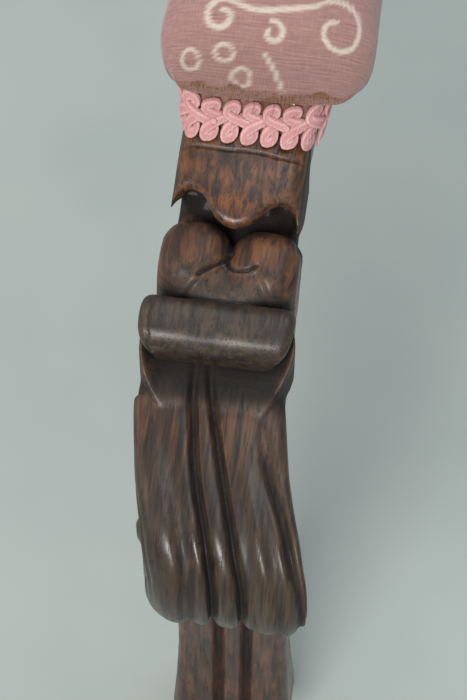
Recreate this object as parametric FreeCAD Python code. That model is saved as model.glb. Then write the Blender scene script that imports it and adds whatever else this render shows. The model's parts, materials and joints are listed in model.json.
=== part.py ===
"""Carved show-wood arm of an upholstered armchair, with its padded elbow rest and its support post.

Row frame, in millimetres: +Z up, the sitter looks along -Y, +X is the outer side of the chair.
The origin is the middle of the post's foot, on the face that stands on the seat rail.
Each piece is written to parts/NODE.step.
"""
import FreeCAD, Part

import math
import os

from FreeCAD import Matrix, Placement, Rotation, Vector

# ---- driving dimensions ----
FOOT_Z = 0.0
JOINT_Z = 131.0             # where the rail sits on the post
NOSE_Y, NOSE_Z, NOSE_R = -22.0, 157.0, 28.0   # the scroll's eye and its outer radius
HAND_SLOPE = 17.0           # degrees, the fluted back of the hand
ROLL_Y, ROLL_Z, ROLL_R = 26.5, 210.0, 12.0    # the curled leaf behind the hand
ROLL_GAP = 1.6              # the carved slot between the roll and the lobes
REAR_Y = 392.0              # end grain that meets the back upright
REAR_TOP, REAR_BOTTOM = 258.0, 230.0

PAD_SLOPE = 5.0             # degrees, the platform under the pad
PAD_X, PAD_Y, PAD_Z = -8.0, 99.0, 244.0       # front edge of the platform, on its centre line
PAD_LENGTH = 252.0
PAD_WIDTH = 46.0
PAD_HEIGHT = 33.0
PAD_CORNER = 11.0
END_FALL, END_RUN = 8.0, 11.0                 # the slope of the platform's two ends

HESSIAN_T = 0.8
HESSIAN_INSET = 3.0
WADDING_T = 3.5
CALICO_T = 0.5
COVER_T = 0.9
TACK_HEAD_T = 0.6
GIMP_T = 2.4
GIMP_WIDTH = 13.6
CALICO_REACH = 9.0          # how far each layer comes down past the platform's edge
COVER_REACH = 11.5

POST_WIDTH_TOP, POST_WIDTH_MID, POST_WIDTH_FOOT = 44.0, 41.0, 47.0
FOOT_DOWEL_R, REAR_DOWEL_R, DOWEL_LENGTH = 5.0, 4.0, 50.0
DOWEL_UNDERSIZE = 0.4       # the glued half is turned this much thinner, in a bore one glue line wider
GLUE_LINE = 0.05
MOUTH_DEPTH = 1.0           # each bore's mouth is relieved for squeezed-out glue
JOINT_DOWEL_R, JOINT_DOWEL_LENGTH = 4.0, 40.0
FOOT_DOWEL_Y = 12.0
REAR_DOWEL_Z = (237.5, 250.5)
JOINT_DOWELS = ((-3.0, -12.0), (-3.0, 12.0))
REAR_X = -8.0

# Centre line and width of the rail seen from above: (y, centre x, width).
PLAN = (
    (REAR_Y, REAR_X, 34.0), (374.0, -8.0, 38.0), (350.0, -8.0, 42.0), (300.0, -8.0, 44.0),
    (200.0, -8.0, 44.5), (120.0, -8.0, 44.0), (100.0, -8.6, 43.0), (86.0, -9.6, 42.5),
    (70.0, -10.5, 42.0), (50.0, -10.5, 43.0), (34.0, -11.0, 45.0), (20.0, -11.3, 48.0),
    (6.0, -10.0, 49.0), (-9.0, -7.5, 49.6), (-22.0, -4.5, 50.0), (-37.0, 0.0, 50.0), (-52.0, 4.8, 48.0),
)
# Flutes over the hand: (offset from the centre line at the roll, at the nose), radius.
FLUTES = (((-4.3, -5.2), 2.0), ((2.0, 4.4), 2.1), ((19.5, 21.0), 1.8))
# The post's two grooves: offset from its centre line, radius.
POST_FLUTES = ((-7.0, 2.0), (3.2, 2.0))


# ---- small helpers ----
def curve(points):
    """One smooth edge through the points."""
    spline = Part.BSplineCurve()
    spline.interpolate(points)
    return spline.toShape()


def line(a, b):
    return Part.LineSegment(a, b).toShape()


def face(edges):
    return Part.Face(Part.Wire(Part.__sortEdges__(edges)))


def whole(shape):
    """The shape as one clean solid."""
    shape = shape.removeSplitter()
    solids = shape.Solids
    return max(solids, key=lambda s: s.Volume)


def side_point(y, z):
    """A point of a side profile, out past the rail's inner side."""
    return Vector(-60.0, y, z)


def side_prism(edges):
    """A side profile carried right across the arm."""
    return face(edges).extrude(Vector(120.0, 0.0, 0.0))


def plan_at(y):
    """The rail's centre x and width at y."""
    rows = sorted(PLAN)
    for (y0, x0, w0), (y1, x1, w1) in zip(rows, rows[1:]):
        if y0 <= y <= y1:
            t = (y - y0) / (y1 - y0)
            return x0 + t * (x1 - x0), w0 + t * (w1 - w0)
    return rows[0][1:] if y < rows[0][0] else rows[-1][1:]


def plan_prism(inset, bottom, top):
    """The rail's outline from above, drawn in by inset, as a tall block."""
    left = [Vector(x - w / 2 + inset, y, bottom) for y, x, w in PLAN]
    right = [Vector(x + w / 2 - inset, y, bottom) for y, x, w in PLAN]
    edges = [curve(left), curve(right), line(left[0], right[0]), line(left[-1], right[-1])]
    return face(edges).extrude(Vector(0.0, 0.0, top - bottom))


def ellipsoid(centre, radii):
    shape = Part.makeSphere(1.0)
    matrix = Matrix()
    matrix.scale(*radii)
    matrix.move(Vector(*centre))
    return shape.transformGeometry(matrix)


def tube(points, radius):
    """A round bar along a smooth path, to cut a flute with."""
    path = Part.Wire([curve(points)])
    start = path.Edges[0].tangentAt(path.Edges[0].FirstParameter)
    section = Part.Wire([Part.makeCircle(radius, points[0], start)])
    return path.makePipeShell([section], True, False)


# ---- the rail's side view ----
def nose_point(angle, radius=NOSE_R):
    a = math.radians(angle)
    return NOSE_Y + radius * math.cos(a), NOSE_Z + radius * math.sin(a)


def hand_top(y):
    """Height of the hand's fluted back, which is straight in side view."""
    y0, z0 = nose_point(90.0 + HAND_SLOPE)
    return z0 + (y - y0) * math.tan(math.radians(HAND_SLOPE))


def pad_top(y):
    return PAD_Z + (y - PAD_Y) * math.tan(math.radians(PAD_SLOPE))


PAD_END_Y = PAD_Y + PAD_LENGTH * math.cos(math.radians(PAD_SLOPE))


def rail_core():
    """The rail without its roll, lobes and collar: side profile through plan outline, edges rounded."""
    start = side_point(*nose_point(90.0 + HAND_SLOPE))
    under_y = NOSE_Y - math.sqrt(NOSE_R**2 - (NOSE_Z - JOINT_Z) ** 2)
    under = side_point(under_y, JOINT_Z)
    nose = Part.Arc(start, side_point(*nose_point(180.0)), under).toShape()
    hollow = side_point(20.0, hand_top(20.0))
    neck = curve([
        hollow, side_point(30.0, 201.5), side_point(42.0, 208.0), side_point(56.0, 219.0),
        side_point(70.0, 226.5), side_point(86.0, 232.5),
    ])
    front_foot = side_point(86.0, 232.5)
    front_edge = side_point(PAD_Y, PAD_Z)
    rear_edge = side_point(PAD_END_Y, pad_top(PAD_END_Y))
    rear_foot = side_point(PAD_END_Y + 11.0, REAR_TOP)
    rear_top = side_point(REAR_Y, REAR_TOP)
    rear_low = side_point(REAR_Y, REAR_BOTTOM)
    post_back = side_point(27.0, JOINT_Z)
    belly = curve([
        rear_low, side_point(300.0, 229.5), side_point(200.0, 225.0), side_point(120.0, 215.5),
        side_point(88.0, 205.5), side_point(62.0, 189.0), side_point(42.0, 168.0), side_point(31.0, 148.0),
        post_back,
    ])
    outline = [
        nose, line(start, hollow), neck, line(front_foot, front_edge), line(front_edge, rear_edge),
        line(rear_edge, rear_foot), line(rear_foot, rear_top), line(rear_top, rear_low), belly,
        line(post_back, under),
    ]
    return side_prism(outline).common(plan_prism(0.0, 100.0, 300.0))


def roll():
    """The curled-over leaf: a barrel with rounded ends, lying across the arm."""
    left, right, round_r = -37.0, 12.5, 4.5
    axis_y, axis_z = ROLL_Y, ROLL_Z
    a = Vector(left, axis_y, axis_z)
    b = Vector(left, axis_y, axis_z + ROLL_R - round_r)
    c = Vector(left + round_r, axis_y, axis_z + ROLL_R)
    d = Vector(right - round_r, axis_y, axis_z + ROLL_R)
    e = Vector(right, axis_y, axis_z + ROLL_R - round_r)
    f = Vector(right, axis_y, axis_z)
    bend = round_r * (1.0 - math.sqrt(0.5))
    left_arc = Part.Arc(b, Vector(left + bend, axis_y, axis_z + ROLL_R - bend), c).toShape()
    right_arc = Part.Arc(d, Vector(right - bend, axis_y, axis_z + ROLL_R - bend), e).toShape()
    half = face([line(a, b), left_arc, line(c, d), right_arc, line(e, f), line(f, a)])
    return half.revolve(Vector(0.0, axis_y, axis_z), Vector(1.0, 0.0, 0.0), 360.0)


def wings():
    """The leaf's two turned-up edges, running from the roll's ends down to the hand."""
    outline = [
        curve([
            side_point(32.0, 214.5), side_point(18.0, 216.0), side_point(8.0, 208.0), side_point(1.0, 200.0),
            side_point(-7.0, hand_top(-7.0)),
        ]),
        line(side_point(-7.0, hand_top(-7.0)), side_point(10.0, 180.0)),
        line(side_point(10.0, 180.0), side_point(34.0, 190.0)),
        line(side_point(34.0, 190.0), side_point(32.0, 214.5)),
    ]
    slab = side_prism(outline)
    edges = plan_prism(0.4, 150.0, 260.0).cut(plan_prism(3.6, 150.0, 260.0))
    return slab.common(edges).Solids


def collar():
    """The shell over the neck, with a dropped lobe between two scallops."""
    front, back = 50.0, 87.0
    corner, width, deep = 9.0, 43.0, 44.0
    slope = math.radians(17.8)
    x0, x1 = -10.5 - width / 2, -10.5 + width / 2
    top = 225.4
    a = Vector(x0, front, top - deep)
    b = Vector(x0, front, top - corner)
    c = Vector(x0 + corner, front, top)
    d = Vector(x1 - corner, front, top)
    e = Vector(x1, front, top - corner)
    f = Vector(x1, front, top - deep)
    bend = corner * (1.0 - math.sqrt(0.5))
    section = face([
        line(a, b), Part.Arc(b, Vector(x0 + bend, front, top - bend), c).toShape(), line(c, d),
        Part.Arc(d, Vector(x1 - bend, front, top - bend), e).toShape(), line(e, f), line(f, a),
    ])
    run = back - front
    shell = section.extrude(Vector(0.0, run, run * math.tan(slope)))
    # The front edge from above: two scallops and the lobe, a little lower on the outer side.
    edge = curve([
        Vector(-34.0, 61.0, 0.0), Vector(-30.5, 60.5, 0.0), Vector(-28.0, 65.5, 0.0), Vector(-24.0, 67.5, 0.0),
        Vector(-19.0, 64.5, 0.0), Vector(-15.0, 58.5, 0.0), Vector(-9.5, 55.5, 0.0), Vector(-3.0, 58.0, 0.0),
        Vector(2.0, 61.5, 0.0), Vector(6.0, 61.0, 0.0), Vector(9.5, 57.0, 0.0), Vector(11.5, 50.5, 0.0),
    ])
    west, east = Vector(-34.0, 61.0, 0.0), Vector(11.5, 50.5, 0.0)
    north_west, north_east = Vector(-34.0, back + 5.0, 0.0), Vector(11.5, back + 5.0, 0.0)
    kept = face([edge, line(west, north_west), line(north_west, north_east), line(north_east, east)])
    kept = kept.extrude(Vector(0.0, 0.0, 300.0))
    belly_cut = Part.makeBox(80.0, 60.0, 60.0, Vector(-50.0, 40.0, 136.0))
    belly_cut.rotate(Vector(0.0, 70.0, 196.0), Vector(1.0, 0.0, 0.0), 28.0)
    return whole(shell.common(kept).cut(belly_cut))


def lobes():
    """Two rounded leaf lobes behind the roll."""
    return [
        ellipsoid((-21.2, 51.0, 210.0), (11.6, 15.0, 15.5)),
        ellipsoid((0.2, 49.5, 209.5), (11.6, 15.0, 15.5)),
    ]


def eye_hollows():
    """The dark hollows under the collar's edge."""
    return [
        ellipsoid((-26.0, 65.0, 228.0), (6.5, 5.5, 9.0)),
        ellipsoid((5.5, 57.5, 225.0), (7.0, 6.0, 9.0)),
        ellipsoid((-9.8, 54.0, 224.0), (4.5, 4.0, 8.0)),
    ]


def flute(offsets, radius):
    """A groove from the hollow over the nose and down to the joint."""
    roll_side, nose_side = offsets
    points = []
    for y in (24.0, 10.0, -6.0, -20.0):
        share = (24.0 - y) / (24.0 - NOSE_Y)
        x = plan_at(y)[0] + roll_side + share * (nose_side - roll_side)
        points.append(Vector(x, y, hand_top(y)))
    for angle in (112.0, 132.0, 152.0, 172.0, 192.0, 212.0, 232.0, 252.0):
        y, z = nose_point(angle)
        points.append(Vector(plan_at(y)[0] + nose_side, y, z))
    return tube(points, radius)


def spiral_band():
    """The volute's groove, drawn on both sides of the scroll."""
    turns, inner, outer, broad = 1.6, 6.0, 24.5, 2.4
    count = 25
    starts, ends = [], []
    for i in range(count):
        share = i / (count - 1)
        angle = math.radians(100.0 + share * turns * 360.0)
        radius = outer + share * (inner - outer)
        for points, r in ((starts, radius), (ends, radius - broad)):
            points.append(side_point(NOSE_Y + r * math.cos(angle), NOSE_Z + r * math.sin(angle)))
    band = side_prism([curve(starts), curve(ends), line(starts[0], ends[0]), line(starts[-1], ends[-1])])
    depth = 1.6
    skin = plan_prism(-1.0, 110.0, 200.0).cut(plan_prism(depth, 105.0, 205.0))
    return band.common(skin).Solids


def above_belly():
    """Everything over the level of the rail's underside at the pad."""
    return Part.makeBox(120.0, 320.0, 80.0, Vector(-60.0, 80.0, 226.0))


def dowel_bores(positions, radius, depth, axis):
    """Blind bores for dowels, from each position along the axis."""
    return [Part.makeCylinder(radius, depth, Vector(*p), Vector(*axis)) for p in positions]


def dowel_sockets(positions, radius, axis):
    """Bores for the glued halves of the dowels that stand out, each with a relieved mouth."""
    bores = dowel_bores(positions, radius - DOWEL_UNDERSIZE + GLUE_LINE, DOWEL_LENGTH / 2 + 1.0, axis)
    return bores + dowel_bores(positions, radius + 0.6, MOUTH_DEPTH, axis)


def rear_positions():
    return [(REAR_X, REAR_Y, z) for z in REAR_DOWEL_Z]


def foot_positions():
    return [(0.0, s * FOOT_DOWEL_Y, FOOT_Z) for s in (-1.0, 1.0)]


def joint_positions():
    return [(x, y, JOINT_Z) for x, y in JOINT_DOWELS]


def arm_rail():
    body = rail_core()
    slot = Part.makeCylinder(ROLL_R + ROLL_GAP, 90.0, Vector(-60.0, ROLL_Y, ROLL_Z), Vector(1.0, 0.0, 0.0))
    above = Part.makeBox(120.0, 40.0, 60.0, Vector(-60.0, ROLL_Y, ROLL_Z - 8.0))
    body = body.fuse(lobes())
    body = body.common(plan_prism(-0.2, 100.0, 300.0))
    body = body.cut(eye_hollows())
    body = body.fuse([collar()])
    body = body.cut([slot.common(above)])
    body = body.fuse([roll()] + wings())
    body = body.fuse(seated(block(0.0, 0.0, GIMP_WIDTH + 1.5)).common(above_belly()))
    body = body.cut([flute(offsets, radius) for offsets, radius in FLUTES])
    body = body.cut(spiral_band())
    bores = dowel_sockets(rear_positions(), REAR_DOWEL_R, (0.0, -1.0, 0.0))
    joint_half = JOINT_DOWEL_LENGTH / 2 + 1.0
    bores += dowel_bores(joint_positions(), JOINT_DOWEL_R + GLUE_LINE, joint_half, (0.0, 0.0, 1.0))
    return whole(body.cut(bores))


# ---- the post ----
POST_FRONT = ((-30.0, JOINT_Z), (-24.5, 116.0), (-19.0, 98.0), (-17.0, 70.0), (-17.5, 35.0), (-21.0, FOOT_Z))
POST_BACK = ((25.0, JOINT_Z), (20.5, 112.0), (17.5, 85.0), (17.0, 55.0), (18.5, 25.0), (22.0, FOOT_Z))


def post_half_width(z):
    """Half the post's width at a height, narrowest at its waist."""
    waist = 85.0
    if z > waist:
        share = (z - waist) / (JOINT_Z - waist)
        return (POST_WIDTH_MID + share**2 * (POST_WIDTH_TOP - POST_WIDTH_MID)) / 2
    share = (waist - z) / waist
    return (POST_WIDTH_MID + share**1.5 * (POST_WIDTH_FOOT - POST_WIDTH_MID)) / 2


def arm_post():
    front = [side_point(y, z) for y, z in POST_FRONT]
    back = [side_point(y, z) for y, z in POST_BACK]
    slab = side_prism([curve(front), curve(back), line(front[0], back[0]), line(front[-1], back[-1])])
    heights = (JOINT_Z, 115.0, 100.0, 85.0, 60.0, 40.0, 20.0, FOOT_Z)
    left = [Vector(-post_half_width(z), -40.0, z) for z in heights]
    right = [Vector(post_half_width(z), -40.0, z) for z in heights]
    view = face([curve(left), curve(right), line(left[0], right[0]), line(left[-1], right[-1])])
    body = slab.common(view.extrude(Vector(0.0, 80.0, 0.0)))
    corners = [e for e in body.Edges if abs(e.BoundBox.ZLength - JOINT_Z + FOOT_Z) < 0.5]
    body = body.makeFillet(4.0, corners)
    cutters = []
    for offset, radius in POST_FLUTES:
        path = [Vector(offset, y, z) for y, z in POST_FRONT]
        path[0] = Vector(offset, path[0].y - 3.0, path[0].z + 8.0)
        path[-1] = Vector(offset, path[-1].y - 1.0, path[-1].z - 6.0)
        cutters.append(tube(path, radius))
    body = body.cut(cutters)
    bores = dowel_sockets(foot_positions(), FOOT_DOWEL_R, (0.0, 0.0, 1.0))
    joint_half = JOINT_DOWEL_LENGTH / 2 + 1.0
    bores += dowel_bores(joint_positions(), JOINT_DOWEL_R + GLUE_LINE, joint_half, (0.0, 0.0, -1.0))
    return whole(body.cut(bores))


# ---- dowels ----
def dowel(position, outward, radius):
    """Half glued in, half standing out for the neighbour's bore; its free end chamfered."""
    half = DOWEL_LENGTH / 2
    base, out = Vector(*position), Vector(*outward)
    glued = Part.makeCylinder(radius - DOWEL_UNDERSIZE, half, base - out * half, out)
    free = Part.makeCylinder(radius, half - 1.0, base, out)
    tip = Part.makeCone(radius, radius - 0.8, 1.0, base + out * (half - 1.0), out)
    return glued.fuse([free, tip])


def dowels(positions, outward, radius):
    return Part.makeCompound([dowel(p, outward, radius) for p in positions])


def joint_dowel(position):
    half = JOINT_DOWEL_LENGTH / 2
    body = Part.makeCylinder(JOINT_DOWEL_R, 2 * half, Vector(*position) - Vector(0.0, 0.0, half))
    return body.makeChamfer(0.8, [e for e in body.Edges if e.Curve.TypeId == "Part::GeomCircle"])


# ---- the pad, drawn in its own level frame and then tilted onto the platform ----
def seated(shape):
    """Moves a shape from the pad's frame (front edge at y = 0, platform at z = 0) to the row frame."""
    shape = shape.copy()
    placed = Placement(Vector(PAD_X, PAD_Y, PAD_Z), Rotation(Vector(1.0, 0.0, 0.0), PAD_SLOPE))
    shape.Placement = placed.multiply(shape.Placement)
    return shape


def rounded_outline(x0, x1, y0, y1, radius, z):
    """A closed rectangle with rounded corners, level at z."""
    r, s = radius, radius * (1.0 - math.sqrt(0.5))
    points = [
        (x0 + r, y0), (x1 - r, y0), (x1 - s, y0 + s), (x1, y0 + r), (x1, y1 - r), (x1 - s, y1 - s),
        (x1 - r, y1), (x0 + r, y1), (x0 + s, y1 - s), (x0, y1 - r), (x0, y0 + r), (x0 + s, y0 + s),
    ]
    p = [Vector(x, y, z) for x, y in points]
    edges = [
        line(p[0], p[1]), Part.Arc(p[1], p[2], p[3]).toShape(), line(p[3], p[4]),
        Part.Arc(p[4], p[5], p[6]).toShape(), line(p[6], p[7]), Part.Arc(p[7], p[8], p[9]).toShape(),
        line(p[9], p[10]), Part.Arc(p[10], p[11], p[0]).toShape(),
    ]
    return Part.Wire(edges)


# The crown's swell: (share of the height, swell at the inner side, at the outer side, at each end).
CROWN = (
    (0.0, 0.0, 0.0, 0.0), (0.14, 3.6, 7.5, 1.6), (0.32, 6.0, 13.0, 2.2), (0.54, 5.0, 14.0, -1.0),
    (0.76, -0.5, 9.0, -8.0), (0.92, -9.0, -1.0, -21.0), (1.0, -19.0, -13.0, -42.0),
)


def end_growth(grow):
    """How far an end moves along y when its slope grows by grow, square to itself."""
    return grow * math.hypot(END_FALL, END_RUN) / END_FALL


def crown(grow):
    """The crowned pad above the platform, grown or shrunk all round by grow."""
    wires = []
    for share, inner, outer, end in CROWN:
        x0, x1 = -PAD_WIDTH / 2 - inner - grow, PAD_WIDTH / 2 + outer + grow
        y0, y1 = -end - end_growth(grow), PAD_LENGTH + end + end_growth(grow)
        radius = min(PAD_CORNER + 8.0 * share + grow, (x1 - x0) / 2 - 0.5)
        wires.append(rounded_outline(x0, x1, y0, y1, radius, share * (PAD_HEIGHT + grow)))
    return Part.makeLoft(wires, True, False)


def block(grow, top, bottom):
    """The platform's block from depth top to depth bottom, grown square to its sides and ends."""
    x = PAD_WIDTH / 2 + grow
    slope = END_RUN / END_FALL
    radius = PAD_CORNER + grow
    wires = []
    for depth in (top, bottom):
        y0 = -end_growth(grow) - slope * depth
        wires.append(rounded_outline(-x, x, y0, PAD_LENGTH - y0, radius, -depth))
    return Part.makeLoft(wires, True, True)


def within_reach(reach):
    """The space down to a braid's or cloth's lower edge: reach down the sides and down both slopes."""
    lean = math.hypot(END_FALL, END_RUN)
    along_y, along_z = END_RUN / lean, END_FALL / lean
    edge_y, edge_z = -reach * along_y, -reach * along_z
    inside = Vector(-60.0, edge_y + 12.0 * along_z, edge_z - 12.0 * along_y)
    outside = Vector(-60.0, edge_y - 12.0 * along_z, edge_z + 12.0 * along_y)
    low = Vector(-60.0, 25.0, -reach)
    front = [outside, inside, low]
    if inside.z > -reach:
        front = [outside, inside, Vector(-60.0, inside.y + 4.0, -reach)]
    rear = [Vector(p.x, PAD_LENGTH - p.y, p.z) for p in reversed(front)]
    loop = front + rear + [Vector(-60.0, PAD_LENGTH + 60.0, 30.0), Vector(-60.0, -60.0, 30.0)]
    edges = [line(a, b) for a, b in zip(loop, loop[1:] + loop[:1])]
    return face(edges).extrude(Vector(120.0, 0.0, 0.0))


def band(inner, outer, reach):
    """A layer wrapped round the platform's edge, reaching down from its top."""
    deep = GIMP_WIDTH + 1.0
    ring = block(outer, 0.0, deep).cut(block(inner, 0.0, deep))
    return ring.common(within_reach(reach))


def cloth(inner, outer, reach):
    """A cloth over the crown and down past the platform's edge."""
    return whole(crown(outer).cut(crown(inner)).fuse(band(inner, outer, reach)))


def places_round(pitch, grow, reach):
    """Places round the edge at an even pitch: (point, outward direction)."""
    lean = math.hypot(END_FALL, END_RUN)
    along_y, along_z = END_RUN / lean, END_FALL / lean
    flat = PAD_LENGTH - 2 * PAD_CORNER
    count = int(flat / pitch)
    places = []
    for side in (-1.0, 1.0):
        for i in range(count + 1):
            y = PAD_CORNER + flat * i / count
            places.append((Vector(side * (PAD_WIDTH / 2 + grow), y, -reach), Vector(side, 0.0, 0.0)))
    across = int((PAD_WIDTH - 2 * PAD_CORNER) / pitch) + 2
    for i in range(across):
        x = (PAD_WIDTH / 2 - PAD_CORNER) * (2.0 * i / (across - 1) - 1.0)
        for edge, toward in ((0.0, -1.0), (PAD_LENGTH, 1.0)):
            outward = Vector(0.0, toward * along_z, along_y)
            point = Vector(x, edge + toward * reach * along_y, -reach * along_z)
            places.append((point + outward * grow, outward))
    return places


def platform_places():
    """Where the hessian is tacked down."""
    count, inset = 8, 7.0
    places = []
    for i in range(count):
        y = 10.0 + (PAD_LENGTH - 20.0) * i / (count - 1)
        for side in (-1.0, 1.0):
            places.append((Vector(side * (PAD_WIDTH / 2 - inset), y, HESSIAN_T), Vector(0.0, 0.0, 1.0)))
    return places


def tack(point, outward, length, shank, head_r, head_t):
    """A cut tack: tapering shank and flat head, the head's underside on the point."""
    body = Part.makeCone(shank, shank * 0.3, length, point, outward * -1.0)
    return body.fuse(Part.makeCylinder(head_r, head_t, point, outward))


def tacks(places, length, shank, head_r, head_t=TACK_HEAD_T):
    return Part.makeCompound([tack(p, d, length, shank, head_r, head_t) for p, d in places])


def hessian():
    x = PAD_WIDTH / 2 - HESSIAN_INSET
    outline = rounded_outline(-x, x, HESSIAN_INSET, PAD_LENGTH - HESSIAN_INSET, PAD_CORNER - 3.0, 0.0)
    return Part.Face(outline).extrude(Vector(0.0, 0.0, HESSIAN_T))


def pad_parts():
    """Every layer of the elbow rest and its fixings, in the pad's frame."""
    cover_out = CALICO_T + COVER_T
    braid_in = cover_out + TACK_HEAD_T
    hessian_tacks = tacks(platform_places(), 8.0, 0.8, 2.4)
    calico_tacks = tacks(places_round(24.0, CALICO_T, 4.4), 8.0, 0.7, 1.8)
    cover_tacks = tacks(places_round(19.0, cover_out, 8.6), 9.0, 0.8, 2.2)
    pins = tacks(places_round(31.0, braid_in + GIMP_T, 11.4), 11.0, 0.5, 0.9, 0.4)
    parts = {
        "pad_hessian": hessian().cut(hessian_tacks),
        "pad_stuffing": crown(-WADDING_T).cut([hessian(), hessian_tacks]),
        "pad_wadding": crown(0.0).cut(crown(-WADDING_T)),
        "pad_calico": cloth(0.0, CALICO_T, CALICO_REACH).cut([calico_tacks, pins]),
        "pad_cover": cloth(CALICO_T, cover_out, COVER_REACH).cut([calico_tacks, cover_tacks, pins]),
        "gimp_braid": band(braid_in, braid_in + GIMP_T, GIMP_WIDTH).cut(pins),
        "hessian_tacks": hessian_tacks,
        "calico_tacks": calico_tacks,
        "cover_tacks": cover_tacks,
        "gimp_pins": pins,
    }
    parts["pad_calico"] = parts["pad_calico"].cut(cover_tacks)
    return {name: seated(shape) for name, shape in parts.items()}


def build():
    parts = pad_parts()
    rail = arm_rail()
    for name in ("hessian_tacks", "calico_tacks", "cover_tacks", "gimp_pins"):
        rail = whole(rail.cut(parts[name]))
    parts["arm_rail"] = rail
    parts["arm_post"] = arm_post()
    parts["joint_dowels"] = Part.makeCompound([joint_dowel(p) for p in joint_positions()])
    parts["foot_dowels"] = dowels(foot_positions(), (0.0, 0.0, -1.0), FOOT_DOWEL_R)
    parts["rear_dowels"] = dowels(rear_positions(), (0.0, 1.0, 0.0), REAR_DOWEL_R)
    return parts


def main():
    os.makedirs("parts", exist_ok=True)
    for name, shape in build().items():
        volumes = [round(s.Volume, 1) for s in shape.Solids]
        print(name, "valid" if shape.isValid() else "INVALID", len(volumes), round(sum(volumes), 1))
        shape.exportStep(f"parts/{name}.step")


main()
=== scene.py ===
"""Looks for the carved armchair arm: carved walnut, damask elbow pad, looped gimp braid.

Shapes are worked out in millimetres in the row frame and made in metres.
The carved wood is a signed-distance field (negative inside) that is meshed on a fine grid.
"""
import json
import math

import bpy
import numpy as np
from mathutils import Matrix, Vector

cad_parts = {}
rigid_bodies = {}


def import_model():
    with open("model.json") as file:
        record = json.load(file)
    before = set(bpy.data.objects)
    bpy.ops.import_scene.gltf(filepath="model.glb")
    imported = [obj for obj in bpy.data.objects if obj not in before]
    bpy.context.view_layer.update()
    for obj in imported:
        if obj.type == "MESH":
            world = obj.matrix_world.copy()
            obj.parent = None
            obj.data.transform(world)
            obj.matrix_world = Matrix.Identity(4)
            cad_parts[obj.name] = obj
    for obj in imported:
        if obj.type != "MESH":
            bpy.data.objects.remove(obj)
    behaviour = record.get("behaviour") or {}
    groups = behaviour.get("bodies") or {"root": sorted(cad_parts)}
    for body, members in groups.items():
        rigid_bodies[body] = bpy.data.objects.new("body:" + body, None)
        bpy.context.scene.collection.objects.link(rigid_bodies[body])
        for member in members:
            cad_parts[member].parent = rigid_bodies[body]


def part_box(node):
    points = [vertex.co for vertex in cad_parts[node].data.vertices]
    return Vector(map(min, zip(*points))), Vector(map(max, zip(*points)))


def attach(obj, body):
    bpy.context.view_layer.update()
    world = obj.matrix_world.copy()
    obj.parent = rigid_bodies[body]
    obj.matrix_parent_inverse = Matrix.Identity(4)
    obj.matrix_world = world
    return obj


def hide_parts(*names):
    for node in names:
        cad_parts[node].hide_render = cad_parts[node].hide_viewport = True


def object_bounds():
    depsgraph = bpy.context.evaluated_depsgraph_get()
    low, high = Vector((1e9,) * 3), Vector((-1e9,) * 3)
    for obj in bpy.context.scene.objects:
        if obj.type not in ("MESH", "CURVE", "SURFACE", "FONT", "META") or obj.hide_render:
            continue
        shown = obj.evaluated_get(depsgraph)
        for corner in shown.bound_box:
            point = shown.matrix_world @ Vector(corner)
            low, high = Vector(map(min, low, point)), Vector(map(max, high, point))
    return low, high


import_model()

MM = 0.001
CM = 10.0                               # millimetres in a centimetre, the unit of the cloth's and cord's maps
CAD_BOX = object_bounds()


def box_mm(node):
    """A CAD node's lowest and highest corners in millimetres."""
    lo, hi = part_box(node)
    return np.array(lo) / MM, np.array(hi) / MM


RAIL_LO, RAIL_HI = box_mm("arm_rail")
POST_LO, POST_HI = box_mm("arm_post")
JOINT_Z = POST_HI[2]                    # rail on post
NOSE_R = 28.0
NOSE_Y = RAIL_LO[1] + NOSE_R            # eye of the scroll
NOSE_Z = JOINT_Z + 26.0
REAR_Y = RAIL_HI[1]
HAND_SLOPE = math.radians(17.0)
NOSE_START = math.pi / 2 + HAND_SLOPE   # where the flat of the hand runs into the nose
PAD_SLOPE = math.radians(5.0)
PAD_FRONT = np.array([-8.0, 99.0, 244.0])   # middle of the front edge of the pad's platform
PAD_LENGTH, PAD_WIDTH, PAD_CORNER = 252.0, 47.0, 11.0
END_FALL, END_RUN = 8.0, 11.0           # slope of the platform's two ends
SIDE_LEAN = 0.4                         # how far the platform's sides lean in, per millimetre down


# ---- curves ----
def hermite(x, table):
    """A smooth curve through the (x, y) rows of a table, level beyond its ends."""
    xs, ys = np.asarray(sorted(table), float).T
    slope = np.gradient(ys, xs)
    x = np.clip(x, xs[0], xs[-1])
    i = np.clip(np.searchsorted(xs, x, side="right") - 1, 0, len(xs) - 2)
    h = xs[i + 1] - xs[i]
    t = (x - xs[i]) / h
    near = (1 + 2 * t) * (1 - t) ** 2 * ys[i] + t * (1 - t) ** 2 * h * slope[i]
    return near + t * t * (3 - 2 * t) * ys[i + 1] + t * t * (t - 1) * h * slope[i + 1]


def through(points, step=2.0):
    """Points along a smooth path through the given ones."""
    p = np.asarray(points, float)
    run = np.concatenate([[0.0], np.cumsum(np.linalg.norm(np.diff(p, axis=0), axis=1))])
    at = np.linspace(0.0, run[-1], int(run[-1] / step) + 2)
    return np.stack([hermite(at, list(zip(run, p[:, k]))) for k in range(p.shape[1])], axis=1)


def smoothstep(a, b, x):
    t = np.clip((x - a) / (b - a), 0.0, 1.0)
    return t * t * (3 - 2 * t)


def smax(a, b, r):
    """The larger of two fields, with their meeting edge rounded over about r."""
    h = np.clip(0.5 + 0.5 * (a - b) / r, 0.0, 1.0)
    return b + (a - b) * h + r * h * (1 - h)


def smin(a, b, r):
    return -smax(-a, -b, r)


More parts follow.
